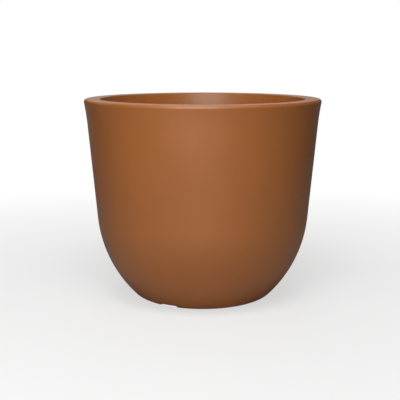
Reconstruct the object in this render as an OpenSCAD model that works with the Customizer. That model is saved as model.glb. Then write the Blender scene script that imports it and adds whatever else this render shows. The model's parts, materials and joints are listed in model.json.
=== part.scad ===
// Round double-walled planter with a bowl-shaped bottom and a wide flat rim.
// An outer shell stands on a notched foot ring and carries a lift-out liner, whose
// rim closes the gap between the two walls. A perforated grid lies on the liner's
// floor, and a screw plug with a ring seal closes the drain in the shell's floor.
// Origin: centre of the foot's underside. +Z is up and is the axis of revolution,
// -Y is the front.

/* [Pot] */
// Outside diameter at the rim
rim_d = 400; // [380:1:420]
// Overall height from the ground to the rim
pot_h = 337; // [320:1:360]
// Lean of the straight wall from the vertical, in degrees
wall_lean = 4.9; // [4:0.1:6]
// Height at which the straight wall turns into the bowl
bowl_top = 135.5; // [125:0.5:145]
// Radius of the bowl's arc
bowl_r = 212.5; // [208:0.5:218]
// Extra radius that the last stretch of wall flares out by
flare_w = 1.8; // [0.6:0.1:3]
// Height of the flared stretch
flare_h = 40; // [30:1:60]

/* [Shell] */
// Wall thickness of the outer shell
shell_t = 3.6; // [3:0.1:4.5]
// Radius of the rounded edge between the bowl and the foot
foot_edge_r = 16.7; // [14:0.1:20]
// Width of the flat ring that the pot stands on
foot_w = 11.5; // [8:0.5:15]
// Height of the recess under the floor
recess_h = 8; // [6:0.5:10]

/* [Foot notches] */
// Number of notches that let drained water out from under the foot
notch_n = 3; // [3:1:6]
// Width of a notch
notch_w = 34; // [15:1:36]
// Height of a notch
notch_h = 5.3; // [3:0.1:6]
// Direction of the first notch, in degrees from the front towards the left
notch_turn = 29; // [0:1:60]

/* [Liner] */
// Width of the flat rim
rim_w = 26.5; // [25:0.5:32]
// Thickness of the rim's top
rim_t = 3.2; // [2.5:0.1:4]
// Rounding of the rim's outer edge
rim_edge_r = 4.8; // [3:0.1:5]
// Rounding of the rim's inner edge
lip_r = 2.5; // [1.5:0.1:3]
// Depth of the rim's outer face, down to the joint with the shell
rim_face_h = 6.5; // [6.4:0.1:8]
// Wall thickness of the liner
liner_t = 3; // [2.5:0.1:3.5]
// Height of the liner's floor above the ground
liner_floor = 50; // [48:1:60]
// Radius of the liner's inside corner
liner_corner_r = 20; // [15:1:25]
// Length of a finger slot in the liner's wall
grip_w = 84; // [70:1:95]
// Height of a finger slot
grip_h = 22; // [18:1:26]

/* [Grid] */
// Thickness of the soil grid
grid_t = 3; // [2.5:0.1:4]
// Height of the grid above the liner's floor
grid_lift = 8; // [5:0.5:12]
// Diameter of a hole in the grid
grid_hole_d = 7; // [5:0.5:8]

/* [Drain] */
// Outer radius of the bush's barrel
bush_r = 17; // [16.5:0.1:19]
// Mean radius of the plug's thread
thread_r = 12.4; // [11:0.1:12.6]
// Half of the thread's depth
thread_e = 0.6; // [0.4:0.05:0.7]
// Rise of the thread in one turn
thread_pitch = 5; // [4:0.5:5]
// Play between the plug's thread and the bush's
thread_gap = 0.25; // [0.2:0.01:0.35]
// Radius of the plug's head
plug_head_r = 24; // [22:0.5:27]

/* [Hidden] */
$fn = 180;
ARC_FN = 360;      // facets of the large arcs
THREAD_FN = 30;    // facets of the thread's circle, and its layers in a turn
SKIN = 0.01;       // overlap that joins two solids of one piece
JOIN = 5;          // overlap of the bowl's arc and the straight wall inside it
TERRACOTTA = [0.65, 0.41, 0.26];

// straight wall, extended, and its unit normal (outwards) and tangent (upwards)
rim_r = rim_d / 2;
lean_n = [cos(wall_lean), -sin(wall_lean)];
lean_t = [sin(wall_lean), cos(wall_lean)];
edge_c = [rim_r - rim_edge_r, pot_h - rim_edge_r];
flare_z = edge_c.y - flare_h;
flare_start = [edge_c.x + rim_edge_r - flare_w - flare_h * tan(wall_lean), flare_z];
function wall_x(z) = flare_start.x + (z - flare_z) * tan(wall_lean);

// the flare is an arc that touches the straight wall and the rim's rounded edge
edge_along = (edge_c - flare_start) * lean_t;
edge_across = (edge_c - flare_start) * lean_n;
flare_r = (edge_along ^ 2 + edge_across ^ 2 - rim_edge_r ^ 2)
        / (2 * (rim_edge_r + edge_across));
flare_c = flare_start + flare_r * lean_n;
flare_turn = atan2(flare_c.y - edge_c.y, flare_c.x - edge_c.x);
function flared_x(z) = flare_c.x - sqrt(flare_r ^ 2 - (z - flare_c.y) ^ 2);

// the bowl's arc touches the straight wall at bowl_top
bowl_c = [wall_x(bowl_top), bowl_top] - bowl_r * lean_n;

// foot and floor
function corner_x(inset, floor_z, corner_r) =
    bowl_c.x + sqrt((bowl_r - inset - corner_r) ^ 2 - (bowl_c.y - floor_z - corner_r) ^ 2);
foot_r = corner_x(0, 0, foot_edge_r);
recess_r = foot_r - foot_w;
floor_top = recess_h + shell_t;
plateau_r = recess_r + shell_t;

// liner
seam_z = pot_h - rim_face_h;
seam_groove = 0.4;
liner_inset = (wall_x(pot_h) - (rim_r - rim_w)) * cos(wall_lean);
rib_h = 10;
rib_t = 2.5;
rib_play = 0.3;
rib_r = wall_x(seam_z - rib_h) - shell_t / cos(wall_lean) - rib_play;
lip_c = [wall_x(pot_h - lip_r) - (liner_inset - lip_r) / cos(wall_lean) - SKIN, pot_h - lip_r];
grip_drop = 42;
grip_z = pot_h - grip_drop;
liner_hole_r = 4;
liner_hole_step = 30;

// grid
grid_z = liner_floor + grid_lift;
grid_play = 2.5;
grid_r = bowl_c.x + sqrt((bowl_r - liner_inset) ^ 2 - (bowl_c.y - grid_z) ^ 2) - grid_play;
grid_edge_t = 3;
grid_edge_h = 4;
grid_foot_r = 4;
grid_hole_step = 19;
grid_rings = 5;
knob_stem_r = 6;
knob_r = 14;
knob_h = 18;
knob_edge_r = 4;

// drain
flange_r = 25;
flange_t = 3;
bush_low = 3;
bead_w = 0.8;
bead_h = 1.5;
seal_t = 2.4;
seal_in_r = thread_r + thread_e + 0.4;
seal_out_r = 20;
seal_edge_r = 0.6;
neck_play = 0.1;
neck_step = 0.2;
thread_turns = 2;
thread_h = thread_turns * thread_pitch;
plug_head_t = 4;
plug_head_edge_r = 2;
plug_bar_l = 36;
plug_bar_w = 8;
plug_bar_h = 11;
bush_top = floor_top + flange_t;
head_z = bush_top + seal_t;

// A rounded convex edge of radius r about c, between the directions from and to
module edge_cut(c, r, from, to) {
    reach = 3 * r;
    mid = (from + to) / 2;
    difference() {
        polygon([
            c,
            c + reach * [cos(from), sin(from)],
            c + 2 * reach * [cos(mid), sin(mid)],
            c + reach * [cos(to), sin(to)]
        ]);
        translate(c) circle(r);
    }
}

// Half section of a vessel whose wall lies inset inside the pot's straight wall and bowl
module vessel_2d(inset, floor_z, corner_r) {
    arc_r = bowl_r - inset;
    wall_low = bowl_c + arc_r * lean_n;
    wall_high = [wall_low.x + (pot_h - wall_low.y) * tan(wall_lean), pot_h];
    corner_c = [corner_x(inset, floor_z, corner_r), floor_z + corner_r];
    corner_turn = atan2(corner_c.y - bowl_c.y, corner_c.x - bowl_c.x);
    difference() {
        union() {
            polygon([[0, wall_low.y], wall_low, wall_high, [0, pot_h]]);
            intersection() {
                translate(bowl_c) circle(arc_r, $fn = ARC_FN);
                translate([0, floor_z]) square([rim_r, wall_low.y - floor_z + JOIN]);
            }
        }
        edge_cut(corner_c, corner_r, -90, corner_turn);
    }
}

// Half section of the whole pot, filled in, with its flared and rounded rim
module pot_2d() {
    flare_reach = 2 * flare_w;
    difference() {
        union() {
            vessel_2d(0, 0, foot_edge_r);
            polygon([
                [0, flare_z],
                flare_start,
                [rim_r + flare_reach, pot_h],
                [0, pot_h]
            ]);
        }
        translate(flare_c) circle(flare_r, $fn = 4 * ARC_FN);
        edge_cut(edge_c, rim_edge_r, flare_turn, 90);
    }
}

// Fine V groove where the liner's rim meets the shell
module seam_2d() {
    translate([flared_x(seam_z), seam_z]) rotate(45) square(seam_groove, center = true);
}

// One drainage notch, or the raised channel above it, at the foot's edge
module notch_box(width, height) {
    length = foot_edge_r + foot_w + shell_t;
    translate([recess_r - shell_t, -width / 2, -SKIN]) cube([length, width, height + SKIN]);
}

module notches(width, height) {
    for (i = [0 : notch_n - 1])
        rotate(-90 - notch_turn + i * 360 / notch_n) notch_box(width, height);
}

module outer_shell() color(TERRACOTTA) {
    difference() {
        union() {
            rotate_extrude() {
                difference() {
                    intersection() {
                        pot_2d();
                        square([2 * rim_r, seam_z]);
                    }
                    vessel_2d(shell_t, shell_t, foot_edge_r - shell_t);
                    seam_2d();
                }
                translate([0, shell_t - SKIN]) square([plateau_r, floor_top - shell_t + SKIN]);
            }
            intersection() {
                notches(notch_w + 2 * shell_t, notch_h + shell_t);
                rotate_extrude() vessel_2d(SKIN, 0, foot_edge_r);
            }
        }
        translate([0, 0, -SKIN]) cylinder(h = recess_h + SKIN, r1 = recess_r, r2 = recess_r - 1);
        notches(notch_w, notch_h);
        cylinder(h = 2 * floor_top, r = bush_r);
    }
}

// Half section of the liner and its hollow rim
module liner_2d() {
    outer_inset = liner_inset - liner_t;
    outer_floor = liner_floor - liner_t;
    outer_corner = liner_corner_r + liner_t;
    difference() {
        union() {
            intersection() {
                pot_2d();
                translate([0, seam_z]) square([2 * rim_r, pot_h]);
            }
            translate([rib_r - rib_t, seam_z - rib_h]) square([rib_t, rib_h + SKIN]);
            vessel_2d(outer_inset, outer_floor, outer_corner);
        }
        difference() {
            square([rib_r - rib_t, pot_h - rim_t]);
            vessel_2d(outer_inset, outer_floor, outer_corner);
        }
        vessel_2d(liner_inset, liner_floor, liner_corner_r);
        edge_cut(lip_c, lip_r, 90, 180 - wall_lean);
        seam_2d();
    }
}

// Slot with round ends for the fingers, through the liner's wall on one side
module finger_slot() {
    reach = (grip_w - grip_h) / 2;
    translate([rim_r - 2 * rim_w, 0, grip_z]) rotate([90, 0, 90])
        linear_extrude(1.6 * rim_w) {
            square([2 * reach, grip_h], center = true);
            for (side = [-1, 1]) translate([side * reach, 0]) circle(grip_h / 2);
        }
}

module inner_liner() color(TERRACOTTA) {
    difference() {
        rotate_extrude() liner_2d();
        for (side = [0, 180]) rotate(side) finger_slot();
        for (ring = [1, 2]) for (i = [0 : 6 * ring - 1]) rotate(i * 60 / ring)
            translate([liner_hole_step * ring, 0, liner_floor - 2 * liner_t])
                cylinder(h = 3 * liner_t, r = liner_hole_r);
    }
}

module soil_grid() color([0.16, 0.16, 0.17]) {
    translate([0, 0, grid_z]) {
        difference() {
            union() {
                cylinder(h = grid_t, r = grid_r);
                difference() {
                    cylinder(h = grid_t + grid_edge_h, r = grid_r);
                    cylinder(h = 2 * grid_edge_h + grid_t, r = grid_r - grid_edge_t);
                }
            }
            for (ring = [1 : grid_rings]) for (i = [0 : 6 * ring - 1]) rotate(i * 60 / ring)
                translate([grid_hole_step * ring + knob_stem_r, 0, -grid_t])
                    cylinder(h = 3 * grid_t, d = grid_hole_d);
        }
        for (i = [0 : 5]) rotate(30 + 60 * i)
            translate([grid_hole_step * 2.5 + knob_stem_r, 0, -grid_lift])
                cylinder(h = grid_lift + SKIN, r = grid_foot_r);
        translate([0, 0, grid_t - SKIN]) rotate_extrude() {
            square([knob_stem_r, knob_h]);
            translate([0, knob_h - 2 * knob_edge_r])
                square([knob_r - knob_edge_r, 2 * knob_edge_r]);
            translate([knob_r - knob_edge_r, knob_h - knob_edge_r]) circle(knob_edge_r);
        }
    }
}

// Round-crested thread: a circle set off its axis and turned as it rises
module thread(r, height) {
    turn = 360 * height / thread_pitch;
    linear_extrude(height, twist = -turn, slices = ceil(turn * THREAD_FN / 360), $fn = THREAD_FN)
        translate([thread_e, 0]) circle(r, $fn = THREAD_FN);
}

module drain_bush() color([0.2, 0.2, 0.21]) {
    bore_z = bush_top - 3 * thread_pitch;
    difference() {
        rotate_extrude() {
            translate([0, bush_low]) square([bush_r, bush_top - bush_low]);
            translate([0, floor_top]) square([flange_r, flange_t]);
            translate([0, recess_h - bead_h]) square([bush_r + bead_w, bead_h]);
        }
        translate([0, 0, bore_z]) thread(thread_r + thread_gap, 3 * thread_pitch + SKIN);
    }
}

module plug_seal() color([0.1, 0.1, 0.1]) {
    ring_w = seal_out_r - seal_in_r;
    translate([0, 0, bush_top]) rotate_extrude() {
        translate([seal_in_r, 0]) square([ring_w - seal_edge_r, seal_t]);
        translate([seal_in_r, seal_edge_r]) square([ring_w, seal_t - 2 * seal_edge_r]);
        for (z = [seal_edge_r, seal_t - seal_edge_r])
            translate([seal_out_r - seal_edge_r, z]) circle(seal_edge_r);
    }
}

module drain_plug() color([0.2, 0.2, 0.21]) {
    neck_z = bush_top + neck_step;
    translate([0, 0, bush_top - thread_h]) thread(thread_r, thread_h + neck_step + SKIN);
    rotate_extrude() {
        translate([0, neck_z]) square([seal_in_r - neck_play, head_z - neck_z + SKIN]);
        translate([0, head_z]) square([plug_head_r - plug_head_edge_r, plug_head_t]);
        translate([0, head_z]) square([plug_head_r, plug_head_t - plug_head_edge_r]);
        translate([plug_head_r - plug_head_edge_r, head_z + plug_head_t - plug_head_edge_r])
            circle(plug_head_edge_r);
    }
    translate([0, 0, head_z + plug_head_t - SKIN]) linear_extrude(plug_bar_h + SKIN) {
        square([plug_bar_l - plug_bar_w, plug_bar_w], center = true);
        for (side = [-1, 1])
            translate([side * (plug_bar_l - plug_bar_w) / 2, 0]) circle(plug_bar_w / 2);
    }
}

outer_shell();
inner_liner();
soil_grid();
drain_bush();
drain_plug();
plug_seal();
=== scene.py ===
"""Looks of the double-walled terracotta-coloured planter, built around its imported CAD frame."""

import json
import math

import bmesh
import bpy
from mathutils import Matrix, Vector

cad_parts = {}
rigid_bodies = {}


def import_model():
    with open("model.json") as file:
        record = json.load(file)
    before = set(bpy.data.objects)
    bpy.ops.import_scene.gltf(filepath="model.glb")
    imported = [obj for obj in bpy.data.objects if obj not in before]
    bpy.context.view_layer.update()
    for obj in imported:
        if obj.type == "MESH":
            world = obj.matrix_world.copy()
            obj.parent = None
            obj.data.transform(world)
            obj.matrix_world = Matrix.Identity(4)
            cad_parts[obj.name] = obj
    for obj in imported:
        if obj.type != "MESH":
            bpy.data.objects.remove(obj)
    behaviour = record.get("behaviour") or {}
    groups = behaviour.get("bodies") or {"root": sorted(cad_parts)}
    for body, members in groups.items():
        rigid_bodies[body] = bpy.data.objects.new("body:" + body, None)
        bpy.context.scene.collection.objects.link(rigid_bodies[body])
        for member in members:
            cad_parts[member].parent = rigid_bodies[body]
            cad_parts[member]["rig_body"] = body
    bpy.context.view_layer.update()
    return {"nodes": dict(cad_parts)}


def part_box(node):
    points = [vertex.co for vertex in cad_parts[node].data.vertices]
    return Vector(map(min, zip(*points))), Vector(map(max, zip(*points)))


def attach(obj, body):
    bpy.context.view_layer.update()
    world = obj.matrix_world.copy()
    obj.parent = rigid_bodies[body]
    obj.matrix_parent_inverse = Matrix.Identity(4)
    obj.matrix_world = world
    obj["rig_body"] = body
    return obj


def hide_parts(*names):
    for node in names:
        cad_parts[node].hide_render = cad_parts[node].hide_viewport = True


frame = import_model()

MM = 0.001
TURN = 2 * math.pi
SAME = 1e-6             # metres: points that are nearer than this are one point

# ---------------------------------------------------------------------------
# Sizes from the frame, and the shape's driving values, all in metres
# ---------------------------------------------------------------------------
_, liner_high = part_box("inner_liner")
_, shell_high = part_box("outer_shell")
grid_low, grid_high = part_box("soil_grid")
bush_low, bush_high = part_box("drain_bush")
plug_low, plug_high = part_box("drain_plug")
seal_low, seal_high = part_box("plug_seal")

RIM_R = liner_high.x
POT_H = liner_high.z
SEAM_Z = shell_high.z           # the liner's rim rests on the shell here
LEAN = math.radians(4.9)        # of the straight wall, outwards
BOWL_TOP = 135.5 * MM           # the bowl goes over into the straight wall here
BOWL_R = 212.5 * MM
FLARE_W = 1.8 * MM              # how far the rim stands out beyond the straight wall
FLARE_H = 40 * MM
RIM_EDGE_R = 4.8 * MM
RIM_W = 26.5 * MM
RIM_T = 3.2 * MM
LIP_R = 2.5 * MM                # rounding of the rim's inner edge
SHELL_T = 3.6 * MM
FOOT_EDGE_R = 16.7 * MM
FOOT_W = 11.5 * MM
RECESS_H = 8 * MM               # from the foot's underside up to the shell's floor
LINER_T = 3 * MM
LINER_FLOOR = 50 * MM           # height of the liner's floor, inside
LINER_CORNER_R = 20 * MM
RIB_H = 10 * MM                 # of the rib under the rim that centres the liner in the shell
RIB_T = 2.5 * MM
RIB_PLAY = 0.3 * MM

NOTCH_N = 3
NOTCH_W = 34 * MM
NOTCH_H = 5.3 * MM
NOTCH_EDGE = 0.7 * MM
NOTCH_TURN = math.radians(29)   # of the first notch, from the front towards the left
CHANNEL_EDGE = 1.5 * MM         # rounding of the channel over a notch
PAST = 1 * MM                   # how far a cutter reaches past a face

# rows of points along a section: degrees on an arc, metres on a straight stretch
EDGE_STEP = 15
TINY_EDGE_STEP = 30
CORNER_STEP = 6
BOWL_STEP = 1.5
FLARE_STEP = 0.4
LIP_STEP = 9
KNOB_STEP = 12
WALL_ROW = 5 * MM
FLOOR_ROW = 6 * MM
RIM_ROW = 3 * MM
SMALL_ROW = 2 * MM
EDGE_ANGLES = [TURN / 4 * i / 5 for i in range(6)]  # radians, the plug's rounded upper edges

# straight wall's outward normal, and the arcs that touch the wall, as (radius, height)
NORMAL = Vector((math.cos(LEAN), -math.sin(LEAN)))
edge_c = Vector((RIM_R - RIM_EDGE_R, POT_H - RIM_EDGE_R))
flare_start = Vector((RIM_R - FLARE_W - FLARE_H * math.tan(LEAN), edge_c.y - FLARE_H))


def wall_r(z):
    """Radius of the outer straight wall, extended, at height z."""
    return flare_start.x + (z - flare_start.y) * math.tan(LEAN)


to_edge = edge_c - flare_start
edge_along = to_edge.x * math.sin(LEAN) + to_edge.y * math.cos(LEAN)
edge_across = to_edge.dot(NORMAL)
FLARE_R = ((edge_along ** 2 + edge_across ** 2 - RIM_EDGE_R ** 2)
           / (2 * (RIM_EDGE_R + edge_across)))
flare_c = flare_start + FLARE_R * NORMAL
bowl_c = Vector((wall_r(BOWL_TOP), BOWL_TOP)) - BOWL_R * NORMAL
LINER_INSET = (wall_r(POT_H) - (RIM_R - RIM_W)) * math.cos(LEAN)


def corner_r(inset, floor_z, radius):
    """Radius at which a vessel's rounded corner meets its flat floor."""
    rise = bowl_c.y - floor_z - radius
    return bowl_c.x + math.sqrt((BOWL_R - inset - radius) ** 2 - rise ** 2)


FOOT_R = corner_r(0, 0, FOOT_EDGE_R)
RECESS_R = FOOT_R - FOOT_W
FLOOR_TOP = RECESS_H + SHELL_T
PLATEAU_R = RECESS_R + SHELL_T


# ---------------------------------------------------------------------------
# Half sections, as lists of (radius, height)
# ---------------------------------------------------------------------------
def arc(centre, radius, start, end, step):
    """Points along an arc, at most step apart, with all angles in degrees."""
    n = max(2, math.ceil(abs(end - start) / step))
    angles = [math.radians(start + (end - start) * i / n) for i in range(n + 1)]
    return [(centre[0] + radius * math.cos(a), centre[1] + radius * math.sin(a)) for a in angles]


def line(a, b, step):
    """Points along a straight stretch, about step apart, without its ends."""
    n = max(1, round(math.dist(a, b) / step))
    return [(a[0] + (b[0] - a[0]) * i / n, a[1] + (b[1] - a[1]) * i / n) for i in range(1, n)]


def angle_of(v):
    return math.degrees(math.atan2(v[1], v[0]))


def bowl_side(inset, floor_z, radius, top_z):
    """A vessel's side from the edge of its flat floor up to height top_z."""
    corner = Vector((corner_r(inset, floor_z, radius), floor_z + radius))
    touch = angle_of(corner - bowl_c)
    arc_r = BOWL_R - inset
    low = bowl_c + arc_r * NORMAL
    high = Vector((low.x + (top_z - low.y) * math.tan(LEAN), top_z))
    points = arc(corner, radius, -90, touch, CORNER_STEP)
    points += arc(bowl_c, arc_r, touch, -math.degrees(LEAN), BOWL_STEP)[1:]
    return points + line(low, high, WALL_ROW) + [tuple(high)]


def without_repeats(points):
    kept = [points[0]]
    for p in points[1:]:
        if math.dist(p, kept[-1]) > SAME:
            kept.append(p)
    return kept


# ---------------------------------------------------------------------------
# Mesh making
# ---------------------------------------------------------------------------
def new_object(name, bm):
    bmesh.ops.recalc_face_normals(bm, faces=bm.faces)
    mesh = bpy.data.meshes.new(name)
    bm.to_mesh(mesh)
    bm.free()
    obj = bpy.data.objects.new(name, mesh)
    bpy.context.scene.collection.objects.link(obj)
    return obj


def bridge(bm, low, high):
    """Faces between two closed loops of as many points."""
    for i in range(len(low)):
        j = (i + 1) % len(low)
        bm.faces.new([low[i], low[j], high[j], high[i]])


def lathe(name, section, segments, closed):
    """Turns a section about Z. A closed section is a ring, an open one starts and ends on
    the axis. A point's radius may be a function of the angle and the height."""
    bm = bmesh.new()
    rows = []
    for radius, z in section:
        if not callable(radius) and radius < SAME:
            rows.append([bm.verts.new((0, 0, z))])
            continue
        row = []
        for i in range(segments):
            a = TURN * i / segments
            r = radius(a, z) if callable(radius) else radius
            row.append(bm.verts.new((r * math.cos(a), r * math.sin(a), z)))
        rows.append(row)
    pairs = list(zip(rows, rows[1:]))
    if closed:
        pairs.append((rows[-1], rows[0]))
    for low, high in pairs:
        for i in range(segments):
            j = (i + 1) % segments
            # a row on the axis is one point, so that its faces are triangles
            corners = [low[i % len(low)], low[j % len(low)],
                       high[j % len(high)], high[i % len(high)]]
            bm.faces.new(list(dict.fromkeys(corners)))
    return new_object(name, bm)


def carve(obj, cutter, operation="DIFFERENCE"):
    """Applies a boolean with cutter, and removes cutter."""
    modifier = obj.modifiers.new("carve", "BOOLEAN")
    modifier.operation = operation
    modifier.solver = "EXACT"
    modifier.object = cutter
    bpy.context.view_layer.update()
    graph = bpy.context.evaluated_depsgraph_get()
    mesh = bpy.data.meshes.new_from_object(obj.evaluated_get(graph))
    obj.modifiers.clear()
    obj.data = mesh
    bpy.data.objects.remove(cutter)


SHARP = math.radians(32)    # an edge is sharp where its faces meet at more than this


def finish_piece(obj, node, material):
    """Shades a piece, gives it its material and lets it stand for its CAD node."""
    obj.data.shade_smooth()
    obj.data.set_sharp_from_angle(angle=SHARP)
    obj.data.materials.clear()
    obj.data.materials.append(material)
    body = frame["nodes"][node]["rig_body"]
    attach(obj, body)
    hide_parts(node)


# ---------------------------------------------------------------------------
# Materials
# ---------------------------------------------------------------------------
class Shader:
    """A Principled material built up from object-space procedural textures."""

    def __init__(self, name):
        self.material = bpy.data.materials.new(name)
        self.material.use_nodes = True
        self.nodes = self.material.node_tree.nodes
        self.links = self.material.node_tree.links
        self.bsdf = self.nodes["Principled BSDF"]
        self.place = self.nodes.new("ShaderNodeTexCoord").outputs["Object"]

    def feed(self, socket, value):
        """Links a node's output to a socket, or sets the socket to a plain value."""
        if isinstance(value, bpy.types.NodeSocket):
            self.links.new(value, socket)
        else:
            socket.default_value = value

    def set(self, node, **inputs):
        for key, value in inputs.items():
            self.feed(node.inputs[key.replace("_", " ")], value)

    def add(self, kind, **inputs):
        node = self.nodes.new(kind)
        self.set(node, **inputs)
        return node

    def stretched(self, scale):
        """Object coordinates scaled along each axis."""
        return self.add("ShaderNodeMapping", Vector=self.place, Scale=scale).outputs["Vector"]

    def noise(self, size, detail, vector=None):
        """Smooth noise whose blobs are about size metres across."""
        node = self.add("ShaderNodeTexNoise", Vector=vector or self.place, Scale=1 / size,
                        Detail=detail)
        return node.outputs["Fac"]

    def spread(self, value, low, high, from_low=0.3, from_high=0.7):
        """Maps values between from_low and from_high to the range low to high."""
        node = self.add("ShaderNodeMapRange", Value=value, From_Min=from_low, From_Max=from_high,
                        To_Min=low, To_Max=high)
        return node.outputs["Result"]

    def combine(self, operation, a, b):
        """The result of ADD, MULTIPLY or the like on two values."""
        node = self.add("ShaderNodeMath")
        node.operation = operation
        self.feed(node.inputs[0], a)
        self.feed(node.inputs[1], b)
        return node.outputs[0]

    def blend(self, factor, a, b):
        """Colour a where factor is 0, going over into colour b where it is 1."""
        node = self.nodes.new("ShaderNodeMix")
        node.data_type = "RGBA"
        self.feed(node.inputs[0], factor)
        colours = [i for i in node.inputs if i.type == "RGBA"]
        for socket, value in zip(colours, (a, b)):
            self.feed(socket, (*value, 1) if isinstance(value, tuple) else value)
        return next(o for o in node.outputs if o.type == "RGBA")

    def mix(self, factor, a, b):
        """Shader a where factor is 0, going over into shader b where it is 1."""
        node = self.nodes.new("ShaderNodeMixShader")
        for socket, value in zip(node.inputs, (factor, a, b)):
            self.links.new(value, socket)
        return node.outputs[0]

    def bump(self, height, distance, normal=None):
        node = self.add("ShaderNodeBump", Height=height, Distance=distance, Strength=1.0)
        if normal is not None:
            self.set(node, Normal=normal)
        return node.outputs["Normal"]


TERRACOTTA = (0.403, 0.133, 0.0302)
CLOUD_TONES = (0.965, 1.035)        # tones are parts of TERRACOTTA
FLOW_TONE = 0.93
SPECK_TONE = 0.72
WALL_ROUGHNESS = 0.4
CLOUD_ROUGHNESS = 0.03              # the most that the clouds change the roughness by
FINE_ROUGHNESS = 0.025              # the same for the finer spots
BLACK = (0.022, 0.022, 0.024)
BLACK_TONES = (0.85, 1.2)           # parts of BLACK
GREY_SPECK = (0.09, 0.085, 0.08)
RUBBER = (0.014, 0.014, 0.014)
RUBBER_DUST = (0.05, 0.048, 0.045)


def shade(colour, factor):
    return tuple(c * factor for c in colour)


def terracotta_plastic(name):
    """Satin moulded plastic, coloured through, with a fine grain and a faint cloudiness."""
    s = Shader(name)
    clouds = s.noise(90 * MM, 3)
    flow = s.noise(35 * MM, 3, s.stretched((1, 1, 0.25)))
    specks = s.noise(0.9 * MM, 1)
    dark, light = (shade(TERRACOTTA, tone) for tone in CLOUD_TONES)
    colour = s.blend(s.spread(clouds, 0, 1), dark, light)
    colour = s.blend(s.spread(flow, 0, 0.35), colour, shade(TERRACOTTA, FLOW_TONE))
    colour = s.blend(s.spread(specks, 0, 0.5, from_low=0.62, from_high=0.8), colour,
                     shade(TERRACOTTA, SPECK_TONE))
    uneven = s.combine("ADD", s.spread(clouds, -CLOUD_ROUGHNESS, CLOUD_ROUGHNESS),
                       s.spread(s.noise(6 * MM, 2), -FINE_ROUGHNESS, FINE_ROUGHNESS))
    normal = s.bump(s.noise(22 * MM, 2), 0.05 * MM)
    normal = s.bump(s.noise(1.1 * MM, 2), 0.012 * MM, normal)
    s.set(s.bsdf, Base_Color=colour, Roughness=s.combine("ADD", uneven, WALL_ROUGHNESS),
          Normal=normal, IOR=1.5, Specular_IOR_Level=0.65)
    return s.material


def dark_plastic(name):
    """Matt recycled plastic: near black, with grey specks and a coarse grain."""
    s = Shader(name)
    dark, light = (shade(BLACK, tone) for tone in BLACK_TONES)
    colour = s.blend(s.spread(s.noise(30 * MM, 3), 0, 1), dark, light)
    specks = s.spread(s.noise(1.3 * MM, 1), 0, 0.6, from_low=0.66, from_high=0.8)
    colour = s.blend(specks, colour, GREY_SPECK)
    roughness = s.spread(s.noise(8 * MM, 2), 0.52, 0.66)
    normal = s.bump(s.noise(0.8 * MM, 3), 0.03 * MM)
    s.set(s.bsdf, Base_Color=colour, Roughness=roughness, Normal=normal)
    return s.material


def seal_rubber(name):
    """Soft black rubber with a dusty bloom."""
    s = Shader(name)
    colour = s.blend(s.spread(s.noise(5 * MM, 4), 0, 0.5), RUBBER, RUBBER_DUST)
    normal = s.bump(s.noise(0.5 * MM, 2), 0.02 * MM)
    s.set(s.bsdf, Base_Color=colour, Roughness=0.78, Normal=normal)
    return s.material


wall_finish = terracotta_plastic("satin_terracotta")
dark_finish = dark_plastic("recycled_black")
rubber_finish = seal_rubber("dusty_rubber")

# ---------------------------------------------------------------------------
# Outer shell
# ---------------------------------------------------------------------------
AROUND = 288
BUSH_R = 17 * MM
SOFT_EDGE = 0.8 * MM
SEAM_EDGE = 0.2 * MM
FILLET = 2 * MM
RECESS_EASE = 1 * MM        # how much narrower the recess is at its top
CHANNEL_SKIN = 0.5 * MM     # the channels stay this far inside the shell's outer face


def flare_arc(z_from, z_to):
    """Points of the flared stretch of the outer wall between two heights."""
    turn = [180 - math.degrees(math.asin((z - flare_c.y) / FLARE_R)) for z in (z_from, z_to)]
    return arc(flare_c, FLARE_R, turn[0], turn[1], FLARE_STEP)


def shell_section():
    seam_r = flare_arc(flare_start.y, SEAM_Z)[-1][0]
    inner_top = wall_r(SEAM_Z) - SHELL_T / math.cos(LEAN)
    recess_top_r = RECESS_R - RECESS_EASE
    points = [(BUSH_R, RECESS_H)]
    points += line((BUSH_R, RECESS_H), (recess_top_r, RECESS_H), FLOOR_ROW)
    points += arc((recess_top_r - FILLET, RECESS_H - FILLET), FILLET, 90, 0, EDGE_STEP)
    points += arc((RECESS_R + SOFT_EDGE, SOFT_EDGE), SOFT_EDGE, 180, 270, EDGE_STEP)
    points += line((RECESS_R + SOFT_EDGE, 0), (FOOT_R, 0), RIM_ROW)
    points += bowl_side(0, 0, FOOT_EDGE_R, flare_start.y)
    points += flare_arc(flare_start.y, SEAM_Z - SEAM_EDGE)[1:]
    points += arc((seam_r - SEAM_EDGE, SEAM_Z - SEAM_EDGE), SEAM_EDGE, 0, 90, TINY_EDGE_STEP)
    points += arc((inner_top + SOFT_EDGE, SEAM_Z - SOFT_EDGE), SOFT_EDGE, 90, 180, EDGE_STEP)
    points += bowl_side(SHELL_T, SHELL_T, FOOT_EDGE_R - SHELL_T, SEAM_Z - SOFT_EDGE)[::-1]
    points += arc((PLATEAU_R + FILLET, SHELL_T + FILLET), FILLET, 270, 180, EDGE_STEP)
    points += arc((PLATEAU_R - FILLET, FLOOR_TOP - FILLET), FILLET, 0, 90, EDGE_STEP)
    points += line((PLATEAU_R - FILLET, FLOOR_TOP), (BUSH_R, FLOOR_TOP), FLOOR_ROW)
    points += [(BUSH_R, FLOOR_TOP)]
    return without_repeats(points)


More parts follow.
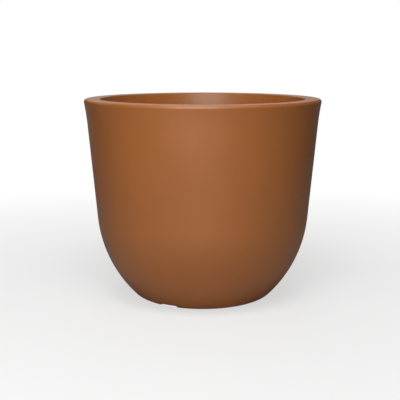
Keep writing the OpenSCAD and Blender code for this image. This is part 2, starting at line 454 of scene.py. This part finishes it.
def notch_boxes(name, width, height, edge, low):
    """Boxes under the foot's edge, one per drainage notch, with rounded upper edges. They
    run from radius low to outside the foot."""
    high = low + FOOT_EDGE_R + FOOT_W + SHELL_T
    bm = bmesh.new()
    outline = [(-width / 2, -PAST)]
    outline += arc((-width / 2 + edge, height - edge), edge, 180, 90, EDGE_STEP)
    outline += arc((width / 2 - edge, height - edge), edge, 90, 0, EDGE_STEP)
    outline += [(width / 2, -PAST)]
    for i in range(NOTCH_N):
        turn = -TURN / 4 - NOTCH_TURN + i * TURN / NOTCH_N
        ends = []
        for r in (low, high):
            ends.append([bm.verts.new((r * math.cos(turn) - y * math.sin(turn),
                                       r * math.sin(turn) + y * math.cos(turn), z))
                         for y, z in outline])
        bridge(bm, ends[0], ends[1])
        bm.faces.new(ends[0])
        bm.faces.new(ends[1][::-1])
    return new_object(name, bm)


def make_shell():
    shell = lathe("planter_shell", shell_section(), AROUND, True)
    channels = notch_boxes("channels", NOTCH_W + 2 * SHELL_T, NOTCH_H + SHELL_T, CHANNEL_EDGE,
                           RECESS_R + SHELL_T / 2)
    skin = CHANNEL_SKIN
    inside = [(0, skin)] + bowl_side(skin, skin, FOOT_EDGE_R - skin, SEAM_Z) + [(0, SEAM_Z)]
    carve(channels, lathe("inside", inside, AROUND, False), "INTERSECT")
    carve(shell, channels, "UNION")
    carve(shell, notch_boxes("notches", NOTCH_W, NOTCH_H, NOTCH_EDGE, RECESS_R - SHELL_T))
    finish_piece(shell, "outer_shell", wall_finish)


# ---------------------------------------------------------------------------
# Inner liner with the rim
# ---------------------------------------------------------------------------
SLOT_W = 84 * MM
SLOT_H = 22 * MM
SLOT_Z = POT_H - 42 * MM
SLOT_LIP = 1.3 * MM
SLOT_LIP_ROWS = 5
SLOT_LIP_END = math.radians(65)     # the lip's curve stops here and goes on straight
SLOT_CUTTER_REACH = 1.6 * LINER_T   # of the cutter, from the middle of the wall
SLOT_END_STEP = 10                  # degrees between points of a slot's round ends
LINER_HOLE_R = 4 * MM
LINER_HOLE_STEP = 30 * MM
LINER_HOLE_RINGS = 2
PILLAR_CORNERS = 28
PILLAR_TURN = 0.37                  # parts of the step between a bar's corners


def liner_section():
    outer_inset = LINER_INSET - LINER_T
    outer_floor = LINER_FLOOR - LINER_T
    channel_z = POT_H - RIM_T
    rib_low = SEAM_Z - RIB_H
    rib_r = wall_r(rib_low) - SHELL_T / math.cos(LEAN) - RIB_PLAY
    flare_turn = angle_of(flare_c - edge_c)
    touch = (edge_c.x + RIM_EDGE_R * math.cos(math.radians(flare_turn)),
             edge_c.y + RIM_EDGE_R * math.sin(math.radians(flare_turn)))
    lip_c = (wall_r(POT_H - LIP_R) - (LINER_INSET - LIP_R) / math.cos(LEAN), POT_H - LIP_R)
    under = bowl_side(outer_inset, outer_floor, LINER_CORNER_R + LINER_T, channel_z)
    inside = bowl_side(LINER_INSET, LINER_FLOOR, LINER_CORNER_R, POT_H - LIP_R)
    seam = flare_arc(flare_start.y, SEAM_Z + SEAM_EDGE)[-1]
    points = [(0, outer_floor)] + line((0, outer_floor), under[0], FLOOR_ROW) + under
    points += [(rib_r - RIB_T, channel_z), (rib_r - RIB_T, rib_low + SOFT_EDGE)]
    points += arc((rib_r - RIB_T + SOFT_EDGE, rib_low + SOFT_EDGE), SOFT_EDGE, 180, 270, EDGE_STEP)
    points += arc((rib_r - SOFT_EDGE, rib_low + SOFT_EDGE), SOFT_EDGE, 270, 360, EDGE_STEP)
    points += [(rib_r, SEAM_Z), (seam[0] - SEAM_EDGE, SEAM_Z)]
    points += arc((seam[0] - SEAM_EDGE, SEAM_Z + SEAM_EDGE), SEAM_EDGE, 270, 360, TINY_EDGE_STEP)
    points += [touch]
    points += arc(edge_c, RIM_EDGE_R, flare_turn, 90, CORNER_STEP)
    points += line((edge_c.x, POT_H), (lip_c[0], POT_H), RIM_ROW)
    points += arc(lip_c, LIP_R, 90, 180 - math.degrees(LEAN), LIP_STEP)
    points += inside[::-1]
    points += line(inside[0], (0, LINER_FLOOR), FLOOR_ROW) + [(0, LINER_FLOOR)]
    return without_repeats(points)


def stadium(half_length, radius):
    """Outline of a slot with round ends, centred on the origin."""
    points = []
    for centre, start, side in ((half_length, -90, radius), (-half_length, 90, -radius)):
        points += arc((centre, 0), radius, start, start + 180, SLOT_END_STEP)
        points += line((centre, side), (-centre, side), RIM_ROW)
    return points


def finger_cutter(side):
    """What a finger slot takes out of the liner's wall, with rounded lips on both faces."""
    reach = (SLOT_W - SLOT_H) / 2
    # the wall's faces pass between two layers of the cutter's lips
    flat = LINER_T / 2 - SLOT_LIP * math.sin(0.9 * SLOT_LIP_END)
    turns = [SLOT_LIP_END * i / SLOT_LIP_ROWS for i in range(SLOT_LIP_ROWS + 1)]
    lips = [(flat + SLOT_LIP * math.sin(a), SLOT_LIP * (1 - math.cos(a))) for a in turns]
    lips += [(lips[-1][0] + SLOT_LIP * math.cos(SLOT_LIP_END),
              lips[-1][1] + SLOT_LIP * math.sin(SLOT_LIP_END))]
    clear = (SLOT_CUTTER_REACH, lips[-1][1])
    layers = [clear] + lips[::-1] + [(-depth, grow) for depth, grow in lips + [clear]]
    bm = bmesh.new()

    def at(u, v, depth):
        z = SLOT_Z + v
        r = wall_r(z) - (LINER_INSET - LINER_T / 2) / math.cos(LEAN)
        a = side + math.asin(u / r)
        return bm.verts.new(((r + depth) * math.cos(a), (r + depth) * math.sin(a), z))

    rings = [[at(u, v, depth) for u, v in stadium(reach, SLOT_H / 2 + grow)]
             for depth, grow in layers]
    for low, high in zip(rings, rings[1:]):
        bridge(bm, low, high)
    for ring, (depth, _) in ((rings[0], layers[0]), (rings[-1], layers[-1])):
        # a fan round one point fills the end, which is bent like the wall
        middle = at(0, 0, depth)
        for i in range(len(ring)):
            bm.faces.new([ring[i], ring[(i + 1) % len(ring)], middle])
    return new_object("finger_cutter", bm)


def pillars(name, places, low, high, radius, corners=PILLAR_CORNERS):
    """Upright round bars, all in one object."""
    bm = bmesh.new()
    # the bars' corners keep off the straight lines through the middle of the floor
    turns = [TURN * (i + PILLAR_TURN) / corners for i in range(corners)]
    for x, y in places:
        ends = [[bm.verts.new((x + radius * math.cos(a), y + radius * math.sin(a), z))
                 for a in turns] for z in (low, high)]
        bridge(bm, ends[0], ends[1])
        bm.faces.new(ends[0][::-1])
        bm.faces.new(ends[1])
    return new_object(name, bm)


def ring_places(radius, count, start=0.0):
    """Places evenly spaced on a circle, from the angle start on."""
    turns = [start + TURN * i / count for i in range(count)]
    return [(radius * math.cos(a), radius * math.sin(a)) for a in turns]


def hole_places(rings, step, first=0.0):
    """Places for rings of holes: 6 holes in the first, and 6 more in each further one."""
    places = []
    for ring in range(1, rings + 1):
        places += ring_places(step * ring + first, 6 * ring)
    return places


def make_liner():
    liner = lathe("planter_liner", liner_section(), AROUND, False)
    low = LINER_FLOOR - 2 * LINER_T
    high = LINER_FLOOR + LINER_T
    holes = hole_places(LINER_HOLE_RINGS, LINER_HOLE_STEP)
    carve(liner, pillars("drain_holes", holes, low, high, LINER_HOLE_R))
    for side in (0, TURN / 2):
        carve(liner, finger_cutter(side))
    finish_piece(liner, "inner_liner", wall_finish)


# ---------------------------------------------------------------------------
# Soil grid
# ---------------------------------------------------------------------------
GRID_T = 3 * MM
GRID_LIFT = 8 * MM          # height of the grid's feet
GRID_EDGE_T = 3 * MM
GRID_EDGE_H = 4 * MM
GRID_FOOT_R = 4 * MM
GRID_HOLE_R = 3.5 * MM
GRID_HOLE_CORNERS = 24
GRID_STEP = 19 * MM
GRID_RINGS = 5
GRID_FEET = 6
GRID_AROUND = 192
STEM_R = 6 * MM
KNOB_R = 14 * MM
KNOB_H = 18 * MM
KNOB_EDGE = 4 * MM


def make_grid():
    r = grid_high.x
    low = grid_low.z + GRID_LIFT
    top = low + GRID_T
    edge_top = top + GRID_EDGE_H
    e = SOFT_EDGE
    inner = r - GRID_EDGE_T
    knob_top = top + KNOB_H
    under = knob_top - 2 * KNOB_EDGE
    points = [(0, low)] + line((0, low), (r - e, low), FLOOR_ROW)
    points += arc((r - e, low + e), e, 270, 360, EDGE_STEP)
    points += arc((r - e, edge_top - e), e, 0, 90, EDGE_STEP)
    points += arc((inner + e, edge_top - e), e, 90, 180, EDGE_STEP)
    points += arc((inner - e, top + e), e, 360, 270, EDGE_STEP)
    points += line((inner - e, top), (STEM_R + FILLET, top), FLOOR_ROW)
    points += arc((STEM_R + FILLET, top + FILLET), FILLET, 270, 180, EDGE_STEP)
    points += arc((STEM_R + FILLET, under - FILLET), FILLET, 180, 90, EDGE_STEP)
    points += arc((KNOB_R - KNOB_EDGE, knob_top - KNOB_EDGE), KNOB_EDGE, -90, 90, KNOB_STEP)
    points += [(0, knob_top)]
    grid = lathe("strainer_grid", without_repeats(points), GRID_AROUND, False)
    # the feet stand between the second and the third ring of holes
    feet = ring_places(GRID_STEP * 2.5 + STEM_R, GRID_FEET, TURN / GRID_FEET / 2)
    carve(grid, pillars("grid_feet", feet, grid_low.z, low + PAST, GRID_FOOT_R), "UNION")
    holes = hole_places(GRID_RINGS, GRID_STEP, STEM_R)
    carve(grid, pillars("grid_holes", holes, low - 2 * PAST, top + 2 * PAST, GRID_HOLE_R,
                        GRID_HOLE_CORNERS))
    finish_piece(grid, "soil_grid", dark_finish)


# ---------------------------------------------------------------------------
# Drain: bush, plug and seal
# ---------------------------------------------------------------------------
THREAD_R = 12.4 * MM
THREAD_E = 0.6 * MM         # how far the thread's circle is set off the axis
THREAD_PITCH = 5 * MM
THREAD_GAP = 0.25 * MM      # between the plug's thread and the bush's
THREAD_ROW = 0.25 * MM
BUSH_AROUND = 96
BEAD_T = 0.8 * MM           # the bead under the floor that the bush snaps in with
BEAD_H = 1.5 * MM
SEAL_AROUND = 128
SEAL_EDGE = 0.6 * MM
SEAL_PLAY = 0.4 * MM        # between the thread's crest and the seal ring
SEAL_IN_R = THREAD_R + THREAD_E + SEAL_PLAY
NECK_PLAY = 0.1 * MM
NECK_STEP = 0.2 * MM
HEAD_T = 4 * MM
HEAD_EDGE = 1.6 * MM
HEAD_LOW_EDGE = 0.3 * MM
HEAD_MARGIN = 1.5 * MM      # the rows of the head's top keep off its rounded edge by this
FLUTES = 28
FLUTE_ROWS = 12             # around the head, to a flute
FLUTE_DEPTH = 0.7 * MM
BAR_L = 36 * MM
BAR_W = 8 * MM
BAR_EDGE = 1.6 * MM


def thread(radius):
    """Radius of a round-crested thread: a circle set off its axis, which turns as it rises."""
    def at(angle, z):
        a = angle - TURN * (z - bush_high.z) / THREAD_PITCH
        return THREAD_E * math.cos(a) + math.sqrt(radius ** 2 - (THREAD_E * math.sin(a)) ** 2)
    return at


def make_bush():
    flange_r = bush_high.x
    low, top = bush_low.z, bush_high.z
    bead_r = BUSH_R + BEAD_T
    bore = thread(THREAD_R + THREAD_GAP)
    e = SOFT_EDGE
    points = arc((BUSH_R - e, low + e), e, 270, 360, EDGE_STEP)
    points += [(BUSH_R, RECESS_H - BEAD_H), (bead_r, RECESS_H - 0.7 * BEAD_H), (bead_r, RECESS_H)]
    points += [(BUSH_R, RECESS_H), (BUSH_R, FLOOR_TOP), (flange_r, FLOOR_TOP)]
    points += arc((flange_r - e, top - e), e, 0, 90, EDGE_STEP)
    points += line((flange_r - e, top), (THREAD_R + 3 * THREAD_E, top), SMALL_ROW)
    rows = round((top - low) / THREAD_ROW)
    points += [(bore, top - (top - low) * i / rows) for i in range(rows + 1)]
    bush = lathe("drain_fitting", points, BUSH_AROUND, True)
    finish_piece(bush, "drain_bush", dark_finish)


def make_seal():
    e = SEAL_EDGE
    r, low, top = seal_high.x, seal_low.z, seal_high.z
    points = arc((r - e, low + e), e, 270, 360, EDGE_STEP)
    points += arc((r - e, top - e), e, 0, 90, EDGE_STEP)
    points += arc((SEAL_IN_R + e / 2, top - e / 2), e / 2, 90, 180, TINY_EDGE_STEP)
    points += arc((SEAL_IN_R + e / 2, low + e / 2), e / 2, 180, 270, TINY_EDGE_STEP)
    seal = lathe("seal_ring", without_repeats(points), SEAL_AROUND, True)
    finish_piece(seal, "plug_seal", rubber_finish)


def grip_bar(low, high):
    """The bar that fingers turn the plug by, with a rounded top."""
    reach = (BAR_L - BAR_W) / 2
    layers = [(low, 0)] + [(high - BAR_EDGE + BAR_EDGE * math.sin(a), BAR_EDGE * (1 - math.cos(a)))
                           for a in EDGE_ANGLES]
    bm = bmesh.new()
    rings = [[bm.verts.new((x, y, z)) for x, y in stadium(reach, BAR_W / 2 - shrink)]
             for z, shrink in layers]
    for a, b in zip(rings, rings[1:]):
        bridge(bm, a, b)
    bm.faces.new(rings[0][::-1])
    bm.faces.new(rings[-1])
    return new_object("grip_bar", bm)


def make_plug():
    head_z = seal_high.z
    head_top = head_z + HEAD_T
    head_r = plug_high.x
    shank = thread(THREAD_R)
    low, top = plug_low.z, bush_high.z
    neck_z = top + NECK_STEP
    neck_r = SEAL_IN_R - NECK_PLAY
    rows = round((top - low) / THREAD_ROW)

    def gripped(shrink):
        def at(angle, z):
            flute = max(0.0, math.cos(FLUTES * angle)) ** 2
            return head_r - shrink - FLUTE_DEPTH * flute
        return at

    points = [(0, low)] + [(shank, low + (neck_z - low) * i / rows) for i in range(rows + 1)]
    points += [(neck_r, neck_z), (neck_r, head_z)]
    points += line((neck_r, head_z), (head_r - SMALL_ROW, head_z), SMALL_ROW)
    points += [(gripped(HEAD_LOW_EDGE), head_z), (gripped(0), head_z + HEAD_LOW_EDGE)]
    for a in EDGE_ANGLES:
        points += [(gripped(HEAD_EDGE * (1 - math.cos(a))),
                    head_top - HEAD_EDGE + HEAD_EDGE * math.sin(a))]
    points += line((head_r - HEAD_EDGE - HEAD_MARGIN, head_top), (0, head_top), SMALL_ROW)
    points += [(0, head_top)]
    plug = lathe("screw_plug", points, FLUTE_ROWS * FLUTES, False)
    carve(plug, grip_bar(head_top - PAST, plug_high.z), "UNION")
    finish_piece(plug, "drain_plug", dark_finish)


make_shell()
make_liner()
make_grid()
make_bush()
make_seal()
make_plug()

# ---------------------------------------------------------------------------
# Stage, lights and camera
# ---------------------------------------------------------------------------
FLOOR_R = 14.0
FLOOR_RINGS = (0.2, 0.5, 1.5, 4)    # radii of rows of points on the floor
FLOOR_GAP = 1 * MM                  # from the foot's contact edge to the floor's inner edge
FLOOR_AROUND = 128
FLOOR_TONE = 0.86                   # the floor's own tone, as the camera sees it
FLOOR_BOUNCE = 0.42                 # its tone for the light that it throws back at the pot
FADE_FROM = 0.2                     # the floor goes over into white between these radii
FADE_TO = 1.1
FADE_LEAST = 0.6                    # how white it is at the first of them


def make_floor():
    """A pale floor that goes over into the white background away from the pot. It is open
    under the foot and doesn't hide the pot from a camera below it, so the underside shows."""
    bm = bmesh.new()
    turns = [TURN * i / FLOOR_AROUND for i in range(FLOOR_AROUND)]
    rows = [[bm.verts.new((r * math.cos(a), r * math.sin(a), 0)) for a in turns]
            for r in (FOOT_R + FLOOR_GAP, *FLOOR_RINGS, FLOOR_R)]
    for inner, outer in zip(rows, rows[1:]):
        bridge(bm, outer, inner)
    floor = new_object("floor", bm)
    s = Shader("floor_paper")
    camera_only = s.nodes.new("ShaderNodeLightPath").outputs["Is Camera Ray"]
    tone = s.blend(camera_only, (FLOOR_BOUNCE,) * 3, (FLOOR_TONE,) * 3)
    s.set(s.bsdf, Base_Color=tone, Roughness=0.9, Specular_IOR_Level=0.0)
    glow = s.add("ShaderNodeEmission", Color=(1, 1, 1, 1), Strength=1.0)
    length = s.nodes.new("ShaderNodeVectorMath")
    length.operation = "LENGTH"
    s.feed(length.inputs[0], s.place)
    fade = s.spread(length.outputs["Value"], FADE_LEAST, 1, FADE_FROM, FADE_TO)
    paper = s.mix(s.combine("MULTIPLY", fade, camera_only), s.bsdf.outputs[0], glow.outputs[0])
    from_below = s.nodes.new("ShaderNodeNewGeometry").outputs["Backfacing"]
    clear = s.nodes.new("ShaderNodeBsdfTransparent").outputs[0]
    surface = s.mix(s.combine("MULTIPLY", from_below, camera_only), paper, clear)
    s.feed(s.nodes["Material Output"].inputs["Surface"], surface)
    floor.data.materials.append(s.material)


def make_world():
    """White where the camera sees it. It lights nothing, since the softboxes do that."""
    world = bpy.data.worlds.new("studio")
    bpy.context.scene.world = world
    world.use_nodes = True
    nodes, links = world.node_tree.nodes, world.node_tree.links
    background = nodes["Background"]
    background.inputs["Color"].default_value = (1, 1, 1, 1)
    camera_only = nodes.new("ShaderNodeLightPath").outputs["Is Camera Ray"]
    links.new(camera_only, background.inputs["Strength"])


# name: azimuth from the front towards +X and elevation, both in degrees; distance from AIM,
# width and height in metres; power in watts
SOFTBOXES = {
    "front_low": (0, 8, 2.4, 1.3, 0.6, 7.0),
    "front_key": (0, 20, 2.4, 1.3, 0.6, 10.9),
    "front_high": (0, 60, 1.2, 0.5, 0.45, 3.5),
    "left_near": (-20, 20, 1.2, 0.5, 0.45, 2.6),
    "left_high": (-20, 60, 1.2, 0.5, 0.45, 3.1),
    "right_high": (20, 60, 1.2, 0.5, 0.45, 1.4),
    "back_rim": (180, 20, 2.4, 1.3, 0.6, 2.3),
    "back_high": (180, 45, 2.4, 1.3, 0.6, 6.4),
    "back_right": (150, 8, 2.4, 1.3, 1.0, 0.9),
    "back_left": (-150, 32, 2.4, 1.15, 1.0, 2.7),
    "edge_left": (-150, 0, 1.6, 0.9, 0.3, 0.22),
    "back_low": (180, 0, 1.3, 0.3, 0.28, 3.0),
    "below": (0, -90, 1.5, 0.8, 0.8, 8.0),
}
AIM = Vector((0, 0, POT_H / 2))


def make_softboxes():
    for name, (azimuth, elevation, distance, width, height, power) in SOFTBOXES.items():
        data = bpy.data.lights.new(name, "AREA")
        data.shape = "RECTANGLE"
        data.size, data.size_y = width, height
        data.energy = power
        light = bpy.data.objects.new(name, data)
        a, e = math.radians(azimuth), math.radians(elevation)
        offset = Vector((math.sin(a) * math.cos(e), -math.cos(a) * math.cos(e), math.sin(e)))
        light.location = AIM + distance * offset
        light.rotation_euler = (-offset).to_track_quat("-Z", "Y").to_euler()
        light.visible_camera = False
        bpy.context.scene.collection.objects.link(light)


CAMERA_DISTANCE = 1.3508        # from the point that it is aimed at
CAMERA_PITCH = math.radians(10.62)
CAMERA_AIM_Z = 0.1606
CAMERA_SIDEWAYS = -0.00456
CAMERA_LENS = 69.82             # millimetres, as is the sensor's width
CAMERA_SENSOR = 36
CAMERA_SIGHT = 100              # metres


def make_camera():
    """The photograph's view: a little above the rim, looking at the middle of the pot."""
    data = bpy.data.cameras.new("camera")
    data.sensor_width = CAMERA_SENSOR
    data.lens = CAMERA_LENS
    data.clip_end = CAMERA_SIGHT
    camera = bpy.data.objects.new("camera", data)
    camera.location = (CAMERA_SIDEWAYS, -CAMERA_DISTANCE * math.cos(CAMERA_PITCH),
                       CAMERA_AIM_Z + CAMERA_DISTANCE * math.sin(CAMERA_PITCH))
    camera.rotation_euler = (math.pi / 2 - CAMERA_PITCH, 0, 0)
    bpy.context.scene.collection.objects.link(camera)
    bpy.context.scene.camera = camera


make_floor()
make_world()
make_softboxes()
make_camera()
bpy.context.scene.view_settings.view_transform = "Standard"
